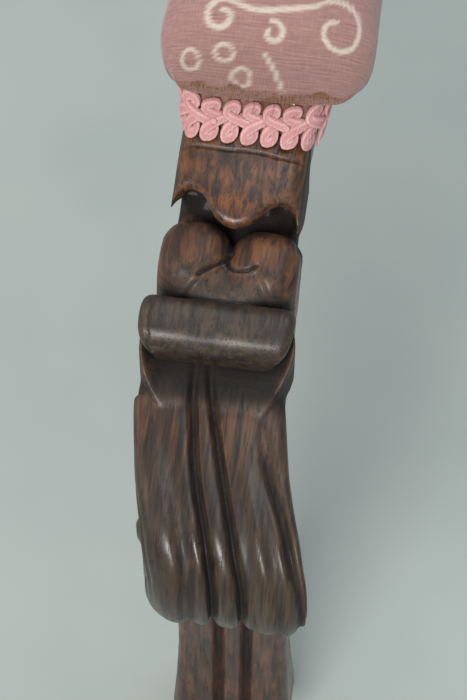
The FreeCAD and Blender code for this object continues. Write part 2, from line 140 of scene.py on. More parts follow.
def to_path(x, y, path):
    """Distance in a plane to a path of points, and how far along it (0 to 1) the nearest place is."""
    best = np.full(np.broadcast(x, y).shape, 1e9)
    along = np.zeros_like(best)
    count = len(path) - 1
    for i in range(count):
        ax, ay = path[i]
        dx, dy = path[i + 1] - path[i]
        t = np.clip(((x - ax) * dx + (y - ay) * dy) / (dx * dx + dy * dy), 0.0, 1.0)
        d = (x - ax - t * dx) ** 2 + (y - ay - t * dy) ** 2
        closer = d < best
        best = np.where(closer, d, best)
        along = np.where(closer, (i + t) / count, along)
    return np.sqrt(best), along


def to_polygon(x, y, loop):
    """Signed distance to a closed outline, negative inside."""
    best = np.full(np.broadcast(x, y).shape, 1e9)
    inside = np.zeros(best.shape, bool)
    for (ax, ay), (bx, by) in zip(loop, np.roll(loop, -1, axis=0)):
        dx, dy = bx - ax, by - ay
        t = np.clip(((x - ax) * dx + (y - ay) * dy) / (dx * dx + dy * dy), 0.0, 1.0)
        best = np.minimum(best, (x - ax - t * dx) ** 2 + (y - ay - t * dy) ** 2)
        if ay != by:
            crosses = (ay > y) != (by > y)
            inside ^= crosses & (x < ax + (y - ay) * dx / dy)
    return np.where(inside, -1.0, 1.0) * np.sqrt(best)


def ripple(x, y, z, size, seed=0.0):
    """Slow, repeatable unevenness between -1 and 1, as hand carving and wear leave."""
    a = np.sin(x / size * 1.7 + 1.3 * np.sin(y / size * 0.9 + seed) + seed)
    b = np.sin(y / size * 1.3 + 1.1 * np.sin(z / size * 1.1 + 2.1 * seed) + 1.9)
    c = np.sin(z / size * 1.9 + 1.2 * np.sin(x / size * 1.2 + seed) + 0.7)
    return (a * b + b * c + c * a) / 3.0


# ---- meshing a field ----
def surface_net(axes, values):
    """Vertices and quads of the zero level of values sampled on a grid with these axes."""
    inside = values < 0
    shape = tuple(n - 1 for n in values.shape)
    count = np.zeros(shape, np.uint8)
    corner = {}
    for i in (0, 1):
        for j in (0, 1):
            for k in (0, 1):
                cut = (slice(i, i + shape[0]), slice(j, j + shape[1]), slice(k, k + shape[2]))
                corner[i, j, k] = cut
                count += inside[cut]
    cells = np.argwhere((count > 0) & (count < 8))
    index = np.full(shape, -1, np.int64)
    index[tuple(cells.T)] = np.arange(len(cells))
    total, hits = np.zeros((len(cells), 3)), np.zeros(len(cells))
    for a in corner:
        for axis in range(3):
            if a[axis]:
                continue
            va = values[tuple((cells + a).T)]
            b = tuple(1 if m == axis else a[m] for m in range(3))
            vb = values[tuple((cells + b).T)]
            cross = (va < 0) != (vb < 0)
            share = np.where(cross, va / np.where(cross, va - vb, 1.0), 0.0)
            for m in range(3):
                at_a, at_b = axes[m][cells[:, m] + a[m]], axes[m][cells[:, m] + b[m]]
                total[:, m] += np.where(cross, at_a + share * (at_b - at_a), 0.0)
            hits += cross
    vertices = total / hits[:, None]
    quads = []
    for axis in range(3):
        p, q = [m for m in range(3) if m != axis]
        low = [slice(1, -1)] * 3
        low[axis] = slice(0, -1)
        high = list(low)
        high[axis] = slice(1, None)
        starts = inside[tuple(low)]
        edges = np.argwhere(starts != inside[tuple(high)])
        edges[:, p] += 1
        edges[:, q] += 1
        ring = []
        for dp, dq in ((-1, -1), (0, -1), (0, 0), (-1, 0)):
            cell = edges.copy()
            cell[:, p] += dp
            cell[:, q] += dq
            ring.append(index[tuple(cell.T)])
        ring = np.stack(ring, axis=1)
        outward = inside[tuple(edges.T)]
        if axis == 1:
            outward = ~outward
        quads.append(np.where(outward[:, None], ring, ring[:, ::-1]))
    return vertices, np.concatenate(quads)


SETTLE_STEP = 0.3


def slope_of(field, p):
    """The field's value and gradient at points."""
    x, y, z = p.T
    e = 0.12
    gradient = np.stack([
        field(x + e, y, z) - field(x - e, y, z),
        field(x, y + e, z) - field(x, y - e, z),
        field(x, y, z + e) - field(x, y, z - e),
    ], axis=1) / (2 * e)
    return field(x, y, z), gradient


def settle(field, vertices):
    """Moves vertices onto the field's zero level, in two rounds of at most SETTLE_STEP."""
    for _ in range(2):
        value, gradient = slope_of(field, vertices)
        size = np.maximum((gradient**2).sum(axis=1), 0.2)
        move = -(value / size)[:, None] * gradient
        length = np.linalg.norm(move, axis=1, keepdims=True)
        vertices = vertices + move * np.minimum(1.0, SETTLE_STEP / np.maximum(length, 1e-9))
    return vertices


def sample(field, axes):
    """The field on a grid, worked out a slab at a time."""
    x, y, z = axes
    out = np.empty((len(x), len(y), len(z)), np.float32)
    for start in range(0, len(y), 40):
        part = y[start:start + 40]
        out[:, start:start + 40] = field(x[:, None, None], part[None, :, None], z[None, None, :])
    return out


def hollow_shade(field, vertices):
    """How deep in a recess each vertex lies (0 open, 1 shut in) and how sharp a crest it is on."""
    _, gradient = slope_of(field, vertices)
    normal = gradient / np.maximum(np.linalg.norm(gradient, axis=1, keepdims=True), 1e-6)
    shut = np.zeros(len(vertices))
    for reach, weight in ((0.8, 0.3), (2.0, 0.4), (5.0, 0.3)):
        p = vertices + normal * reach
        shut += weight * np.clip(1.0 - field(*p.T) / reach, 0.0, 1.0)
    p = vertices - normal * 1.6
    crest = np.clip(1.0 + field(*p.T) / 1.6, 0.0, 1.0)
    return np.clip(shut * 1.5, 0.0, 1.0), crest


def store(mesh, key, values):
    """Keeps one value per vertex under a name."""
    layer = mesh.attributes.new(key, "FLOAT", "POINT")
    layer.data.foreach_set("value", np.asarray(values, np.float32))


def store_map(mesh, name, u, v):
    """A UV map from values held per vertex."""
    loops = np.empty(len(mesh.loops), np.int32)
    mesh.loops.foreach_get("vertex_index", loops)
    layer = mesh.uv_layers.new(name=name)
    layer.data.foreach_set("uv", np.stack([u[loops], v[loops]], axis=1).astype(np.float32).ravel())


def make_mesh(name, vertices, faces, attributes=()):
    """A smooth mesh object from millimetre vertices and lists of corners, with named per-vertex values."""
    mesh = bpy.data.meshes.new(name)
    mesh.from_pydata((vertices * MM).tolist(), [], faces)
    for key, values in attributes:
        store(mesh, key, values)
    mesh.shade_smooth()
    mesh.update()
    piece = bpy.data.objects.new(name, mesh)
    bpy.context.scene.collection.objects.link(piece)
    return piece


def carve(name, field, axes, shade_and_dirt):
    """A mesh piece of a field, with its recesses and crests stored per vertex: recess is an occlusion measure
    for painted shade, raised by the given darkening.
    """
    vertices, quads = surface_net(axes, sample(field, axes))
    vertices = settle(field, vertices)
    shut, crest = hollow_shade(field, vertices)
    # The given darkening, painted shade and soiling, joins the occlusion measure.
    shut = np.maximum(shut, shade_and_dirt(*vertices.T))
    return make_mesh(name, vertices, quads.tolist(), (("recess", shut), ("crest", crest)))


def shade_and_grime(x, y, z):
    """Painted shade under the collar, behind the roll and where the roll meets the hand, blotchy darkening
    over the roll, and painted shade with soiling in the hand's grooves and valleys.
    """
    # Painted shade in the undercut beneath the collar's scalloped edge.
    under = smoothstep(-2.5, 1.5, y - hermite(x, COLLAR_EDGE))
    under = under * smoothstep(-2.4, -4.4, z - collar_ridge(x, y)) * (y < COLLAR_BACK) * (z > 190.0)
    # Painted shade in the groove between the roll and the lobes.
    behind = smoothstep(3.0, 0.8, np.abs(y - 35.6)) * smoothstep(218.5, 214.0, z) * (z > 180.0)
    # Painted shadow of the roll on the hand below it.
    foot = smoothstep(2.0, 11.0, y) * (y < 26.0) * smoothstep(6.0, 1.0, z - hand_top(y)) * 0.92
    dark = np.maximum(np.maximum(under, behind), foot * (z > 180.0))
    # Blotchy darkening over the roll, which through the recess value also dulls its gloss.
    polish = (0.3 + 0.3 * ripple(x, y, z, 7.0, 3.0)) * (y > 12.0) * (y < 35.0) * (z > 200.0)
    dark = np.maximum(dark, polish)
    t, u = travel(y, z), x - hermite(y, CENTRE_X)
    # Painted shade and soiling along the hand's grooves.
    for route, half, _, start in GROOVES:
        off = (u - hermite(t, route)) / (half * 0.9)
        dark = np.maximum(dark, np.exp(-off**2) * smoothstep(start, start + 22.0, t) * (y < 24.0))
    # Painted shade and soiling in the hand's shallow valleys, which also dulls their gloss.
    for valley, deep in ((-13.2, 0.62), (7.6, 0.5), (15.8, 0.58)):
        line = deep * np.exp(-(((u - valley) / 1.7) ** 2)) * smoothstep(-14.0, 8.0, t)
        dark = np.maximum(dark, line * (y < 10.0))
    return dark


def post_groove_dark(x, y, z):
    """Darkening in the post's two grooves, strongest along their middles."""
    left, right = np.exp(-(((x + 4.6) / 1.3) ** 2)), np.exp(-(((x - 5.6) / 1.7) ** 2))
    return np.where(y < 0.0, left + right, 0.0)


def axis_steps(*spans):
    """Grid lines over joined spans, each (start, end, step)."""
    lines = [np.arange(a, b, step) for a, b, step in spans]
    return np.concatenate(lines + [[spans[-1][1]]])


# ---- the carved rail ----
CENTRE_X = (
    (-50.0, 5.0), (-45.0, 3.5), (-38.0, 0.8), (-30.0, -1.6), (-20.0, -4.6), (-10.0, -7.1), (0.0, -8.9),
    (8.0, -9.9), (20.0, -10.2), (34.0, -9.8), (50.0, -9.4), (70.0, -9.4), (86.0, -9.2), (100.0, -8.2),
    (120.0, -8.0), (REAR_Y, -8.0),
)
HALF_WIDTH = (
    (-50.0, 24.8), (-45.0, 25.0), (-30.0, 24.9), (-10.0, 24.3), (8.0, 24.2), (20.0, 23.4), (34.0, 22.6),
    (50.0, 22.6), (62.0, 20.8), (86.0, 20.4), (104.0, 20.6), (120.0, 21.6), (340.0, 22.0), (360.0, 20.0),
    (REAR_Y, 17.0),
)
EDGE_ROUND = ((-50.0, 7.0), (0.0, 5.0), (60.0, 6.0), (90.0, 7.0))


def hand_top(y):
    """Height of the hand's flat back."""
    return NOSE_Z + NOSE_R * math.sin(NOSE_START) + (y - TANGENT_Y) * math.tan(HAND_SLOPE)


TANGENT_Y = NOSE_Y + NOSE_R * math.cos(NOSE_START)
PAD_END_Y = PAD_FRONT[1] + PAD_LENGTH * math.cos(PAD_SLOPE)
PAD_END_Z = PAD_FRONT[2] + PAD_LENGTH * math.sin(PAD_SLOPE)


def rail_outline():
    """The rail's side view without its roll, lobes and collar: (y, z) round a closed loop."""
    turn = np.linspace(NOSE_START, math.radians(248.0), 44)
    nose = np.stack([NOSE_Y + NOSE_R * np.cos(turn), NOSE_Z + NOSE_R * np.sin(turn)], axis=1)
    belly = through([
        (30.0, JOINT_Z), (33.0, 148.0), (44.0, 168.0), (63.0, 188.0), (88.0, 204.0), (120.0, 215.0),
        (200.0, 225.0), (300.0, 229.5), (REAR_Y, RAIL_HI[2] - 36.0),
    ], 6.0)
    neck = through([
        (20.0, hand_top(20.0)), (26.0, 199.0), (34.0, 201.5), (42.0, 207.5), (50.0, 211.0), (62.0, 212.0),
        (69.0, 213.5), (74.0, 218.0), (79.0, 228.0), (87.0, 232.8),
    ])
    rear = [(PAD_END_Y, PAD_END_Z), (PAD_END_Y + 11.0, PAD_END_Z - 8.0), (REAR_Y, PAD_END_Z - 8.0)]
    return np.concatenate([nose, [(30.0, JOINT_Z)], belly[1:], rear[::-1], [PAD_FRONT[1:]], neck[::-1]])


OUTLINE = rail_outline()

# The fluted hand across its width: (offset from the centre line, height), as it is on the nose.
RIDGES = (
    (-27.0, -2.4), (-23.5, -0.9), (-20.2, 0.5), (-17.2, 0.9), (-13.2, -0.9), (-9.0, 0.7), (-5.5, 0.0),
    (-0.8, 0.7), (3.6, 0.0), (7.6, -0.3), (12.0, 1.2), (15.8, -0.2), (18.4, 0.4), (21.0, -0.1), (24.6, 0.3),
    (27.0, -0.5),
)
# Three grooves: offsets along the hand (travel, offset), half-width, depth, where they begin.
GROOVES = (
    (((-50.0, -6.0), (-27.0, -5.4), (-6.0, -5.6), (5.0, -5.4), (22.0, -5.8), (70.0, -5.7)), 1.45, 2.9, -60.0),
    (((-50.0, -0.9), (-37.0, 1.1), (-27.0, 2.4), (-12.0, 3.4), (5.0, 3.5), (22.0, 3.8), (70.0, 4.2)),
     1.5, 3.0, -60.0),
    (((-40.0, 15.0), (-30.0, 17.0), (-12.0, 19.6), (-3.0, 20.9), (10.0, 22.0), (25.0, 23.0), (70.0, 23.6)),
     1.9, 2.4, -38.0),
)


def travel(y, z):
    """Distance along the hand from where the nose starts, negative towards the roll."""
    turn = np.mod(np.arctan2(z - NOSE_Z, y - NOSE_Y), 2 * math.pi)
    back = -((y - TANGENT_Y) * math.cos(HAND_SLOPE) + (z - hand_top(TANGENT_Y)) * math.sin(HAND_SLOPE))
    return np.where(back < 0, back, NOSE_R * (turn - NOSE_START))


def hand_relief(u, y, z):
    """Height of the hand's ridges and grooves above its plain surface."""
    t = travel(y, z)
    height = hermite(u, RIDGES) * smoothstep(-30.0, 6.0, t) * (1 - 0.9 * smoothstep(34.0, 64.0, t))
    height = height - 0.0016 * u * u * (1 - smoothstep(-30.0, 6.0, t))
    for route, half, depth, start in GROOVES:
        off = (u - hermite(t, route)) / half
        height = height - depth * smoothstep(start, start + 22.0, t) * np.exp(-np.abs(off) ** 2.1)
    front = smoothstep(26.0, 20.0, y) * smoothstep(hand_top(y) - 16.0, hand_top(y) - 9.0, z)
    return height * np.where(t > 0, 1.0, front)


def volute(y, z):
    """Depth of the spiral channel carved on both sides of the scroll."""
    away = np.hypot(y - NOSE_Y, z - NOSE_Z)
    turn = np.mod(np.arctan2(z - NOSE_Z, y - NOSE_Y) - math.radians(60.0), 2 * math.pi) / (2 * math.pi)
    phase = np.mod((NOSE_R - 1.0 - away) / 8.0 + turn, 1.0)
    channel = 1.6 * np.sin(math.pi * np.clip((phase - 0.22) / 0.78, 0.0, 1.0)) ** 0.7
    eye = -1.2 * smoothstep(5.0, 2.0, away)
    return channel * smoothstep(NOSE_R - 3.5, NOSE_R - 6.5, away) * smoothstep(3.5, 6.0, away) + eye


def rail_body(x, y, z):
    """The rail without its added leaves: side view through width, edges rounded."""
    u = x - hermite(y, CENTRE_X)
    half = hermite(y, HALF_WIDTH)
    half = half + 1.1 * np.where(u < 0, smoothstep(9.0, 8.0, y), smoothstep(26.0, -8.0, y))
    half = half - 2.2 * smoothstep(172.0, 134.0, z) * smoothstep(-34.0, -4.0, y) * smoothstep(60.0, 40.0, y)
    crown = to_polygon(y, z, OUTLINE) - hand_relief(u, y, z)
    return smax(crown, np.abs(u) - half + volute(y, z), hermite(y, EDGE_ROUND))


ROLL = (24.0, 210.9)                    # middle of the roll: y, z
ROLL_TILT = math.radians(15.0)


def roll(x, y, z):
    """The leaf's curled tip, lying across the arm; it narrows as it curls under."""
    p = (y - ROLL[0]) * math.cos(ROLL_TILT) + (z - ROLL[1]) * math.sin(ROLL_TILT)
    q = (z - ROLL[1]) * math.cos(ROLL_TILT) - (y - ROLL[0]) * math.sin(ROLL_TILT)
    q = q + 0.5 * np.exp(-(((x + 12.0) / 11.0) ** 2))
    a, b, r = np.abs(p) - 2.0, np.abs(q) - 2.2, 7.7
    section = np.hypot(np.maximum(a, 0), np.maximum(b, 0)) + np.minimum(np.maximum(a, b), 0) - r
    under = smoothstep(-7.0, 11.0, -0.8 * q - 0.6 * p)
    ends = np.maximum(x - (14.9 - 5.6 * under), (-35.2 + 4.6 * under) - x)
    body = smax(section, ends, 4.2)
    crack = np.abs(x + 31.6 - 2.2 * under + 0.3 * np.sin(q * 1.3)) / 0.42
    return body + 0.5 * np.exp(-crack**2) * smoothstep(-6.5, -3.0, -p)


# The leaf that the roll belongs to lies on the hand.
# Its two edges, seen from above, stand up beside the roll.
LEAF_EDGES = (
    ((-33.6, 31.0), (-34.6, 26.0), (-35.0, 20.0), (-33.4, 13.5), (-29.8, 7.6), (-25.0, 1.6), (-22.0, -4.0)),
    ((13.0, 33.0), (14.8, 28.0), (15.6, 22.0), (13.8, 15.4), (10.8, 9.6), (8.0, 4.0), (6.0, -4.0)),
)
LEAF_RISE = ((0.0, 9.0), (0.22, 9.0), (0.42, 6.4), (0.6, 2.8), (0.76, 0.7), (0.9, 0.0), (1.0, 0.0))


def leaf(x, y, z):
    """The leaf's cupped face, highest along its two edges."""
    routes = [through(route, 3.0) for route in LEAF_EDGES]
    inside = to_polygon(x, y, np.concatenate([routes[0], routes[1][::-1]]))
    height = hand_top(y) - 2.5 + 3.1 * smoothstep(-4.0, 9.0, y)
    height = height + hand_relief(x - hermite(y, CENTRE_X), y, hand_top(y))
    for route in routes:
        away, along = to_path(x, y, route)
        height = height + hermite(along, LEAF_RISE) * np.exp(-((away / 4.6) ** 1.3))
    return np.maximum(smax(inside, (z - height) * 0.7, 1.8), hand_top(y) - 8.0 - z)


# Cuts in the lobes, seen from above: two veins, and the lower ground between them.
VEINS = (
    ((-8.4, 50.0), (-10.0, 47.0), (-12.2, 44.6), (-15.0, 42.2), (-18.5, 39.6)),
    ((-9.8, 46.0), (-8.2, 43.4), (-5.0, 42.2), (-2.0, 42.6), (0.2, 44.0)),
)
GROUND = np.array([(-25.0, 33.0), (-18.5, 39.2), (-14.5, 42.0), (-11.0, 45.0), (-9.6, 44.8), (-8.2, 42.8),
                   (-5.0, 41.8), (-1.5, 42.4), (0.6, 43.0), (6.0, 36.0), (6.0, 26.0), (-25.0, 26.0)])


def lobe(x, y, z, centre, radii):
    """A rounded leaf lobe, fuller than an egg."""
    a, b, c = (np.abs((v - m) / r) for v, m, r in zip((x, y, z), centre, radii))
    return ((a**2.8 + b**2.4 + c**2.4) ** (1 / 2.5) - 1.0) * min(radii) * 0.9


def lobes(x, y, z):
    """Two rounded leaf lobes side by side that run together towards the roll."""
    left = lobe(x, y, z, (-21.2, 49.5, 206.5), (13.0, 15.5, 17.6))
    right = lobe(x, y, z, (2.2, 48.5, 206.5), (13.2, 15.5, 17.0))
    middle = lobe(x, y, z, (-9.4, 40.4, 204.5), (17.0, 12.5, 15.6))
    both = smin(smin(left, right, 0.8), middle, 3.0)
    top = smoothstep(200.0, 206.0, z)
    for vein in VEINS:
        away, _ = to_path(x, y, through(vein, 1.5))
        both = both + top * 0.85 * np.exp(-((away / 0.55) ** 2))
    return both + top * 0.6 * smoothstep(0.4, -1.6, to_polygon(x, y, GROUND))


# The collar's scalloped front edge, seen from above.
COLLAR_EDGE = (
    (-34.0, 61.0), (-30.8, 62.1), (-30.2, 64.2), (-28.9, 66.5), (-26.4, 67.7), (-22.9, 67.1),
    (-19.6, 64.9), (-17.9, 62.3), (-16.3, 59.9), (-13.9, 58.0), (-11.2, 56.9), (-8.2, 56.7),
    (-5.4, 57.6), (-2.6, 59.3), (-0.4, 61.6), (1.9, 63.6), (4.2, 65.0), (6.8, 65.4),
    (9.0, 64.6), (10.5, 62.6), (11.4, 56.5), (13.0, 54.0),
)
# Its height along its middle: y, z.
COLLAR_RISE = ((48.0, 222.8), (55.0, 226.4), (60.0, 228.8), (68.0, 231.8), (78.0, 234.4), (90.0, 236.6))
NECK_X = -9.4                           # middle of the collar and the lobes
COLLAR_BACK = 90.0
COLLAR_THICK = 3.6


def collar_ridge(x, y):
    """Height of the collar's outer face, with the crease across its back."""
    u = x - NECK_X
    ridge = hermite(y, COLLAR_RISE) - 0.0042 * u * u
    ridge = ridge - 0.5 * smoothstep(12.0, 4.0, np.abs(x + 6.5)) * smoothstep(64.0, 56.0, y)
    crease = y - 80.4 + 0.03 * x + 0.25 * np.sin(x * 0.31)
    return ridge + 0.1 * smoothstep(0.0, 0.8, crease) - 0.7 * np.exp(-((crease / 0.6) ** 2))


def collar(x, y, z):
    """The shell over the neck with its scalloped edge, wrapped down both sides."""
    outer = smax((z - collar_ridge(x, y)) * 0.94, np.abs(x - NECK_X) - 21.6, 6.5)
    shell = np.maximum(outer, -(outer + COLLAR_THICK))
    edge = hermite(x, COLLAR_EDGE) + 1.15 * np.maximum(0.0, 223.0 - z)
    shell = smax(shell, (edge - y) * 0.8, 1.7)
    return np.maximum(shell, np.maximum(y - COLLAR_BACK, 205.0 - z))


def rail(x, y, z):
    body = rail_body(x, y, z)
    for cave in ((-25.5, 68.5, 221.0), (6.0, 67.5, 220.0)):
        body = smax(body, -lobe(x, y, z, cave, (5.6, 8.0, 6.5)), 1.0)
    body = smin(body, np.maximum(lobes(x, y, z), np.abs(x - NECK_X) - 23.0), 1.2)
    body = smin(body, collar(x, y, z), 0.5)
    body = smin(body, leaf(x, y, z), 0.5)
    body = smin(body, roll(x, y, z), 0.7)
    body = body + (0.08 * ripple(x, y, z, 4.5) + 0.2 * ripple(x, y, z, 9.0, 1.0)) * smoothstep(110.0, 90.0, y)
    return np.maximum(body, JOINT_Z - z)


def platform(x, y, z):
    """The block under the pad that the cloth and braid are pulled round."""
    a, b, c = to_pad(x, y, z)
    slope = math.hypot(END_FALL, END_RUN)
    side = np.abs(a) - PAD_WIDTH / 2 + SIDE_LEAN * np.maximum(-c, 0.0)
    run = np.maximum(-b, b - PAD_LENGTH)
    end = (run * END_FALL + c * END_RUN) / slope
    corner = smax(side, end, 9.0)
    return np.maximum(np.maximum(corner, c), -16.0 - c)


def to_pad(x, y, z):
    """Row frame to the pad's own: x from its centre, y from its front edge, z above the platform."""
    dy, dz = y - PAD_FRONT[1], z - PAD_FRONT[2]
    cos, sin = math.cos(PAD_SLOPE), math.sin(PAD_SLOPE)
    return x - PAD_FRONT[0], dy * cos + dz * sin, dz * cos - dy * sin


def from_pad(points):
    p = np.asarray(points, float)
    cos, sin = math.cos(PAD_SLOPE), math.sin(PAD_SLOPE)
    y, z = p[..., 1] * cos - p[..., 2] * sin, p[..., 1] * sin + p[..., 2] * cos
    return np.stack([p[..., 0] + PAD_FRONT[0], y + PAD_FRONT[1], z + PAD_FRONT[2]], axis=-1)


def whole_rail(x, y, z):
    return smin(rail(x, y, z), platform(x, y, z), 1.5)


# ---- the post ----
POST_FRONT = ((JOINT_Z, -30.0), (116.0, -24.5), (98.0, -19.0), (70.0, -17.0), (35.0, -17.5), (0.0, -21.0))
POST_BACK = ((JOINT_Z, 20.0), (112.0, 18.5), (85.0, 17.5), (55.0, 17.0), (25.0, 18.5), (0.0, 22.0))
POST_HALF = ((JOINT_Z, 18.8), (110.0, 19.2), (85.0, 20.2), (50.0, 20.8), (20.0, 22.2), (0.0, 23.5))
POST_REEDS = ((-24.0, -2.2), (-20.0, -0.4), (-13.0, 0.6), (-7.4, 0.0), (-4.6, -2.9), (-2.0, 0.0), (0.6, 0.5),
              (3.0, 0.0), (5.6, -2.9), (8.4, 0.0), (14.5, 0.6), (20.0, -0.4), (24.0, -2.2))


def post(x, y, z):
    height = np.clip(z, 0.0, JOINT_Z)
    front = hermite(height, POST_FRONT) - y - hermite(x, POST_REEDS)
    back = y - hermite(height, POST_BACK) + 0.02 * x * x - 1.0
    sides = np.abs(x) - hermite(height, POST_HALF)
    body = np.maximum(smax(front, sides, 6.0), smax(back, sides, 14.0))
    body = body + 0.12 * ripple(x, y, z, 6.0, 2.0)
    return np.maximum(body, np.maximum(z - JOINT_Z, -z))


# ---- the pad ----
FRONT_RUN = PAD_WIDTH - 2 * PAD_CORNER
SIDE_RUN = PAD_LENGTH - 2 * PAD_CORNER
TURN_RUN = PAD_CORNER * math.pi / 2
ROUND = 2 * FRONT_RUN + 2 * SIDE_RUN + 4 * TURN_RUN
END_RISE = END_FALL / math.hypot(END_FALL, END_RUN)
# Crown of the pad: (height share, growth of its inner side, outer side and two ends).
CROWN = ((0.0, 3.0, 4.4, 3.2), (0.10, 5.4, 9.6, 2.9), (0.22, 7.0, 12.6, 2.2), (0.36, 7.6, 13.4, 1.1),
         (0.54, 6.8, 13.2, -1.2), (0.76, 1.8, 9.6, -7.0), (0.9, -6.2, 2.4, -17.5), (0.98, -15.0, -8.0, -34.0),
         (1.0, -26.0, -20.2, -62.0))
PAD_HEIGHT = 33.5
CLOTH_STEP = 0.72                       # between the cloth's points
CLOTH_OUT = 1.2                         # the cloth lies this far outside the stuffing


def edge_walk(s):
    """Round the pad's edge from the middle of its front towards +X: corner centre part, outward direction."""
    front, side, turn = FRONT_RUN, SIDE_RUN, TURN_RUN
    marks = np.cumsum([0.0, front / 2, turn, side, turn, front, turn, side, turn, front / 2])
    s = np.mod(s, ROUND)
    share_x = np.interp(s, marks, (0, 1, 1, 1, 1, -1, -1, -1, -1, 0))
    share_y = np.interp(s, marks, (-1, -1, -1, 1, 1, 1, 1, -1, -1, -1))
    angle = np.radians(np.interp(s, marks, (-90, -90, 0, 0, 90, 90, 180, 180, 270, 270)))
    return share_x, share_y, np.cos(angle), np.sin(angle)


def ring_point(s, left, right, end, radius, height):
    """Points of a rounded rectangle at the places s round the pad's edge, end past both of its ends."""
    share_x, share_y, nx, ny = edge_walk(s)
    rx = np.minimum(radius, (left + right) / 2)
    x = (right - left) / 2 + share_x * ((left + right) / 2 - rx) + nx * rx
    y = PAD_LENGTH / 2 + share_y * (PAD_LENGTH / 2 + end - radius) + ny * radius
    return np.stack([x, y, np.full_like(x, height)], axis=-1)


def edge_point(s, reach, grow):
    """Points on the platform's edge, reach down its face from the top and grow out from it."""
    share_x, share_y, nx, ny = edge_walk(s)
    depth = reach * (nx**2 + ny**2 * END_RISE)
    x = share_x * FRONT_RUN / 2 + nx * (PAD_CORNER + grow - SIDE_LEAN * reach)
    y = PAD_LENGTH / 2 + share_y * (SIDE_RUN / 2 + END_RUN / END_FALL * depth) + ny * (PAD_CORNER + grow)
    y = y + share_y * grow * (1 / END_RISE - 1)
    return np.stack([x, y, -depth], axis=-1)


def pad_surface():
    """Rows of points from the cloth's hidden lower edge over the crown to its middle line."""
    s = np.linspace(0.0, ROUND, int(ROUND / CLOTH_STEP), endpoint=False)
    rows = [edge_point(s, reach, 1.4) for reach in np.arange(11.5, 0.2, -1.0)]
    table = np.array(CROWN)
    climb, _, outward, endward = np.diff(table, axis=0).T
    run = np.cumsum(np.hypot(climb * PAD_HEIGHT, np.abs(outward) + 0.3 * np.abs(endward)))
    run = np.concatenate([[0.0], run])
    for t in np.linspace(0.0, run[-1], int(run[-1] / CLOTH_STEP)):
        share, inner, outer, end = (hermite(t, list(zip(run, table[:, k]))) for k in range(4))
        radius = PAD_CORNER - 3.5 * smoothstep(0.0, 0.06, share) + 13.0 * share**1.5
        left, right = PAD_WIDTH / 2 + inner + CLOTH_OUT, PAD_WIDTH / 2 + outer + CLOTH_OUT
        end = end + CLOTH_OUT
        if left + right < 0.6:
            left, right = (left - right) / 2 + 0.3, (right - left) / 2 + 0.3
        rows.append(ring_point(s, left, right, end, radius, share * PAD_HEIGHT + 0.2))
    grid = np.stack(rows)
    grid[..., 2] += 0.7 * np.sin(grid[..., 1] / 31.0) * smoothstep(18.0, 30.0, grid[..., 2])
    return s, grid


def flat_pattern(s, grid):
    """Where each point lies on the flat cloth: across and along the arm."""
    _, _, nx, ny = edge_walk(s)
    step = np.diff(grid, axis=0)
    wide, long, tall = np.abs(step).transpose(2, 0, 1)
    below = lambda v: np.concatenate([np.cumsum(v[::-1], axis=0)[::-1], np.zeros((1, grid.shape[1]))])
    a = grid[..., 0] + np.sign(nx) * below(np.hypot(wide, tall) - wide) * nx**2
    b = grid[..., 1] + np.sign(ny) * below(np.hypot(long, tall) - long) * np.abs(ny) ** 0.3
    return a, b


def pucker(s, grid):
    """Soft folds drawn down into the braid, deepest at the corners, and a little unevenness."""
    _, _, nx, ny = edge_walk(s)
    z = grid[..., 2]
    low = np.exp(-np.maximum(z, 0.0) / 9.0)
    corner = 0.35 + 1.3 * (2 * np.abs(nx * ny)) ** 1.5
    folds = np.sin(s * 0.72 + 1.7 * np.sin(s * 0.11)) * np.sin(s * 0.231 + 0.6)
    depth = -0.55 * low * corner * folds - 0.5 * low
    soft = 0.35 * ripple(grid[..., 0], grid[..., 1], z, 15.0, 1.0)
    out = (depth + soft) * smoothstep(PAD_HEIGHT, PAD_HEIGHT - 6.0, z)
    return grid + np.stack([nx * out, ny * out, 0.25 * soft], axis=-1)


def grid_faces(rows, around, closed=False):
    """Quads between rows that are closed rings; closed joins the last row to the first as well."""
    i, j = np.meshgrid(np.arange(rows if closed else rows - 1), np.arange(around), indexing="ij")
    low, high, k = i * around, (i + 1) % rows * around, (j + 1) % around
    return np.stack([low + j, low + k, high + k, high + j], -1).reshape(-1, 4).tolist()


def curl_line(x, y, outer, inner, start, sweep):
    """A curl round a centre, from its outer radius to its inner one; angles in degrees."""
    t = np.linspace(0.0, 1.0, 13)
    radius, angle = outer + (inner - outer) * t, np.radians(start + sweep * t)
    return np.stack([x + radius * np.cos(angle), y + radius * np.sin(angle)], axis=1)


def ring_line(x, y, across, tall):
    """A closed oval round a centre."""
    angle = np.linspace(0.0, 2 * math.pi, 13)
    return np.stack([x + across * np.cos(angle), y + tall * np.sin(angle)], axis=1)


# The damask's figure: plain curls and rings on the flat cloth in millimetres, each with its half-width.
FIGURE = (
    (0.7, curl_line(-12.0, 7.0, 6.0, 2.0, 60.0, 400.0)),
    (0.7, ((-9.0, 12.0), (-2.0, 10.0), (8.0, 11.0), (18.0, 13.0))),
    (0.6, curl_line(26.0, 6.0, 11.0, 3.0, 140.0, -400.0)),
    (0.6, curl_line(5.0, 3.0, 4.0, 1.5, 100.0, -320.0)),
    (0.5, ((3.0, -4.0), (6.0, -9.0), (10.0, -20.0))),
    (0.5, ring_line(-21.0, -9.0, 3.0, 4.0)),
    (0.5, ring_line(-10.0, -5.0, 3.0, 3.0)),
    (0.5, ring_line(-4.0, -14.0, 3.0, 4.0)),
)
FIGURE_PITCH = 84.0


